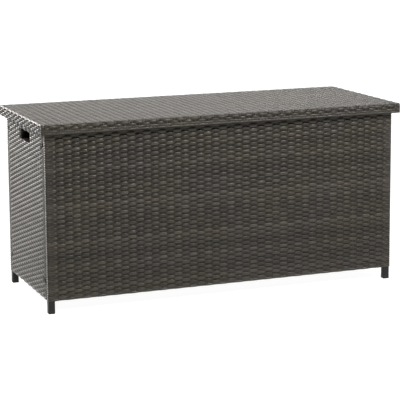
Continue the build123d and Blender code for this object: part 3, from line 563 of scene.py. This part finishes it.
def lid():
    zc = 582.7
    # the top field: wefts along X, warps along Y
    P = Patch((0, 0, zc), (1, 0, 0), (0, 1, 0), (0, 0, 1))
    xs = columns(-586.5, 586.5, 22.55)
    us, c = sample(xs)
    ys = np.arange(68) * 7.3
    ys -= ys.mean()
    rows = np.arange(68)
    tuck = [(592.5, -0.3, 5), (595.6, -1.3, 30), (597.3, -3.2, 65), (597.9, -6.0, 90)]
    tuck_lo = [(-u, h, -a) for u, h, a in reversed(tuck)]
    for tag, sel in (("front", rows[:34]), ("rear", rows[34:])):
        b = Bulk()
        P.wefts(b, ys[sel], us, swing(c, sel, 1.4) * np.where(swell(sel, 67, 1.0) > 0, 1.0, 0.3), tuck_lo, tuck, thick=2.2,
                swell=swell(sel, 67, 0.5), puff=0.0)
        b.make("lid_top_wefts_" + tag, wicker, "lid", "lid_wicker")
    b = Bulk()
    vy = np.linspace(-241.0, 241.0, 2 * 66 + 1)
    cr = (vy - ys[0]) / 7.3
    hs = np.array([-np.cos(math.pi * (cr + i)) * 0.3 for i in range(len(xs))])
    over = [(245.3, -0.4, 10), (247.8, -1.6, 45), (248.9, -4.0, 80), (249.15, -8.0, 90), (249.15, -14.0, 90), (249.15, -21.0, 90),
            (249.1, -26.6, 95), (248.0, -28.6, 140), (244.5, -29.0, 180), (226.0, -29.0, 180), (208.0, -28.8, 180)]
    P.warps(b, xs, vy, hs, [(-u, h, -a) for u, h, a in reversed(over)], over)
    b.make("lid_warps", wicker, "lid", "lid_wicker", "lid_edge_wrap")

    # the band round the lid: four rows, front, ends and rear
    bz = np.array([557.3, 564.3, 571.2, 577.7])
    for sign, label in ((-1, "front"), (1, "rear")):
        F = Patch((0, sign * 249.0, 0), (1, 0, 0), (0, 0, 1), (0, sign, 0))
        b = Bulk()
        bx = columns(-586.5, 586.5, 22.55)
        bu, bc = sample(bx)
        corner = [(593.5, 0.1, 0), (596.5, -0.2, 15), (598.3, -1.3, 45), (599.2, -3.3, 80), (599.35, -6.5, 90), (599.2, -11.0, 90), (597.5, -13.5, 110)]
        hs = swing(bc, np.arange(4), 2.4)
        hs[:2] *= 0.2
        F.wefts(b, bz, bu, hs, [(-u, h, -a) for u, h, a in reversed(corner)], corner, width=np.array([[7.3], [7.3], [6.9], [6.9]]), thick=1.8,
                swell=np.array([[0.0], [0.0], [0.45], [0.25]]), puff=0.8)
        b.make("lid_band_" + label, wicker, "lid", "lid_edge_wrap")
    for sign, label in ((-1, "left"), (1, "right")):
        E = Patch((sign * 599.0, 0, 0), (0, 1, 0), (0, 0, 1), (sign, 0, 0))
        b = Bulk()
        by = columns(-235.5, 235.5, 22.43)
        bu, bc = sample(by)
        hs = swing(bc, np.arange(4), 1.9)
        E.wefts(b, bz, bu, hs, [(-241.0, 0.0, 0)], [(241.0, 0.0, 0)], width=7.0, thick=1.8, swell=0.4, puff=0.3)
        # binding strands over the top edge and round the bottom
        bind = [(552.6 + 1.6, -45.0, -180), (554.2, -25.0, -180), (554.25, -4.0, -170), (555.0, -1.2, -120), (556.5, -0.2, -60)]
        v = np.array([560.9, 564.5, 568.1, 571.6, 575.0])
        bh = np.array([-np.cos(math.pi * (np.interp(v, bz, np.arange(4)) + i)) * 0.3 for i in range(len(by))])
        over2 = [(580.0, 0.1, 15), (582.4, -0.7, 45), (583.2, -2.4, 75), (583.3, -6.0, 90), (582.0, -11.0, 95), (580.8, -16.0, 90)]
        E.warps(b, by, v, bh, [(bb[0], bb[1], bb[2]) for bb in bind], over2, width=6.0)
        # bright rim strand: over every other binding strand
        n = len(by) - 1
        rc = np.linspace(-0.4, n + 0.4, 4 * n + 5)
        ry = np.interp(rc, np.arange(len(by)), by)
        ry[0], ry[-1] = by[0] - 9.5, by[-1] + 9.5
        up = np.cos(math.pi * rc)
        P2 = np.zeros((1, len(ry), 3))
        lift = 0.75 if sign < 0 else 0.3
        P2[0, :, 0] = sign * (597.9 + 0.7 * up)
        P2[0, :, 1] = ry
        P2[0, :, 2] = 582.8 + lift * up
        N2 = np.zeros_like(P2)
        N2[..., 0] = sign * 0.7071
        N2[..., 2] = 0.7071
        b.add(P2, N2, 5.2, 1.5, [0.6], SEC7)
        b.make("lid_band_" + label, wicker, "lid", "lid_edge_wrap")
    # strand wrapped round the lid's tubes, seen from below
    b = Bulk()
    for sign in (-1, 1):
        U = Patch((0, 0, 554.2), (1, 0, 0), (0, sign, 0), (0, 0, -1))
        ux, uc = sample(xs, 2)
        k = np.arange(5)
        U.wefts(b, 244.5 - 7.5 * k, ux, swing(uc, k, 0.22), width=7.0, thick=0.7)
        V = Patch((sign * 0.0, 0, 554.2), (0, 1, 0), (sign, 0, 0), (0, 0, -1))
        uy, uc = sample(columns(-205.0, 205.0, 22.8), 2)
        V.wefts(b, 594.5 - 7.5 * k, uy, swing(uc, k, 0.22), width=7.0, thick=0.7)
    b.make("lid_under_wraps", wicker_core, "lid", "lid_edge_wrap")


long_panel(-1, "front", "front_wicker")
long_panel(1, "rear", "rear_wicker")
end_panel(-1, "left", "left_wicker")
end_panel(1, "right", "right_wicker")
floor()
lid()

# ---------------------------------------------------------------------------
# stage, light and camera
# ---------------------------------------------------------------------------
stage_mat, nt, bsdf = new_mat("stage")
vec = coords(nt)
cl = noise(nt, vec, 3.0, 3.0, 0.5)
nt.links.new(ramp(nt, ((0.3, (0.24, 0.24, 0.24)), (0.7, (0.26, 0.26, 0.26))), cl), bsdf.inputs["Base Color"])
bsdf.inputs["Roughness"].default_value = 0.9
bsdf.inputs["Specular IOR Level"].default_value = 0.1
# the table is lit from within, less towards its front
sep = node(nt, "ShaderNodeSeparateXYZ")
nt.links.new(vec, sep.inputs[0])
fall = node(nt, "ShaderNodeMapRange", interpolation_type="SMOOTHSTEP")
for label, value in (("From Min", -3.4), ("From Max", -1.4), ("To Min", 0.62), ("To Max", 0.955)):
    fall.inputs[label].default_value = value
nt.links.new(sep.outputs[1], fall.inputs["Value"])
bsdf.inputs["Emission Color"].default_value = (1.0, 1.0, 1.0, 1.0)
nt.links.new(fall.outputs[0], bsdf.inputs["Emission Strength"])
me = bpy.data.meshes.new("stage_floor")
# floor that curves up into a back wall
prof = [(-9.0, 0.0), (5.0, 0.0)] + [(5.0 + 3.0 * math.sin(a), 3.0 - 3.0 * math.cos(a)) for a in np.linspace(0.15, math.pi / 2, 9)] + [(8.0, 9.0)]
vs, fs = [], []
for y, z in prof:
    vs += [(-12.0, y, z), (14.0, y, z)]
for i in range(len(prof) - 1):
    fs.append((2 * i, 2 * i + 1, 2 * i + 3, 2 * i + 2))
me.from_pydata(vs, [], fs)
me.update()
me.materials.append(stage_mat)
floor_obj = bpy.data.objects.new("stage_floor", me)
bpy.context.collection.objects.link(floor_obj)


def area(name, loc, target, size, power, color=(1.0, 0.975, 0.945), size_y=None):
    d = bpy.data.lights.new(name, "AREA")
    d.energy = power
    d.color = color
    d.shape = "RECTANGLE"
    d.size = size
    d.size_y = size_y or size
    o = bpy.data.objects.new(name, d)
    bpy.context.collection.objects.link(o)
    o.location = loc
    o.rotation_euler = (Vector(target) - Vector(loc)).to_track_quat("-Z", "Y").to_euler()
    o.visible_camera = False
    return o


area("key", (-2.8, 0.6, 3.1), (-0.4, 0, 0.3), 1.0, 140.0)
area("top", (0.2, -1.1, 3.9), (0, 0, 0.3), 1.4, 55.0)
area("rim_left", (-1.7, 3.3, 1.6), (-0.3, 0, 0.45), 1.2, 95.0)
area("front_soft", (1.7, -3.1, 2.9), (0.1, -0.25, 0.3), 0.8, 175.0, size_y=0.4)
area("rim_back", (1.4, 4.3, 2.2), (0.0, 0, 0.55), 3.8, 42.0, size_y=1.0)
area("back_light", (1.0, 4.6, 4.5), (0.5, 8.0, 2.5), 4.0, 40.0)

world = bpy.data.worlds.new("studio")
bpy.context.scene.world = world
world.use_nodes = True
wt = world.node_tree
bg = wt.nodes["Background"]
bg.inputs[0].default_value = (1.0, 1.0, 1.0, 1.0)
path = wt.nodes.new("ShaderNodeLightPath")
level = wt.nodes.new("ShaderNodeMapRange")
level.inputs["To Min"].default_value = 0.1
level.inputs["To Max"].default_value = 0.97
wt.links.new(path.outputs["Is Camera Ray"], level.inputs["Value"])
wt.links.new(level.outputs[0], bg.inputs[1])

view = bpy.context.scene.view_settings
view.view_transform = "Standard"
view.look = "None"
view.exposure = 0.0
view.gamma = 1.0

# camera: fitted to the box's corners
cam_d = bpy.data.cameras.new("camera")
cam_d.sensor_width = 36.0
F_PX, CX, CY = 1586.77, 210.0, 150.0
cam_d.lens = F_PX / 400.0 * 36.0
cam_d.shift_x = (200.0 - CX) / 400.0
cam_d.shift_y = -(200.0 - CY) / 400.0
cam_d.clip_start = 0.05
cam_d.clip_end = 100.0
cam_d.dof.use_dof = False
yaw, pitch, roll = (math.radians(a) for a in (21.7050, 9.3881, -0.3366))
fwd = Vector((math.sin(yaw) * math.cos(pitch), math.cos(yaw) * math.cos(pitch), -math.sin(pitch)))
right = Vector((math.cos(yaw), -math.sin(yaw), 0.0))
up = right.cross(fwd)
r2 = right * math.cos(roll) + up * math.sin(roll)
u2 = -right * math.sin(roll) + up * math.cos(roll)
cam = bpy.data.objects.new("camera", cam_d)
bpy.context.collection.objects.link(cam)
cam.matrix_world = Matrix.Translation(Vector((-1.8500, -4.7387, 1.2746))) @ Matrix((r2, u2, -fwd)).transposed().to_4x4()
bpy.context.scene.camera = cam
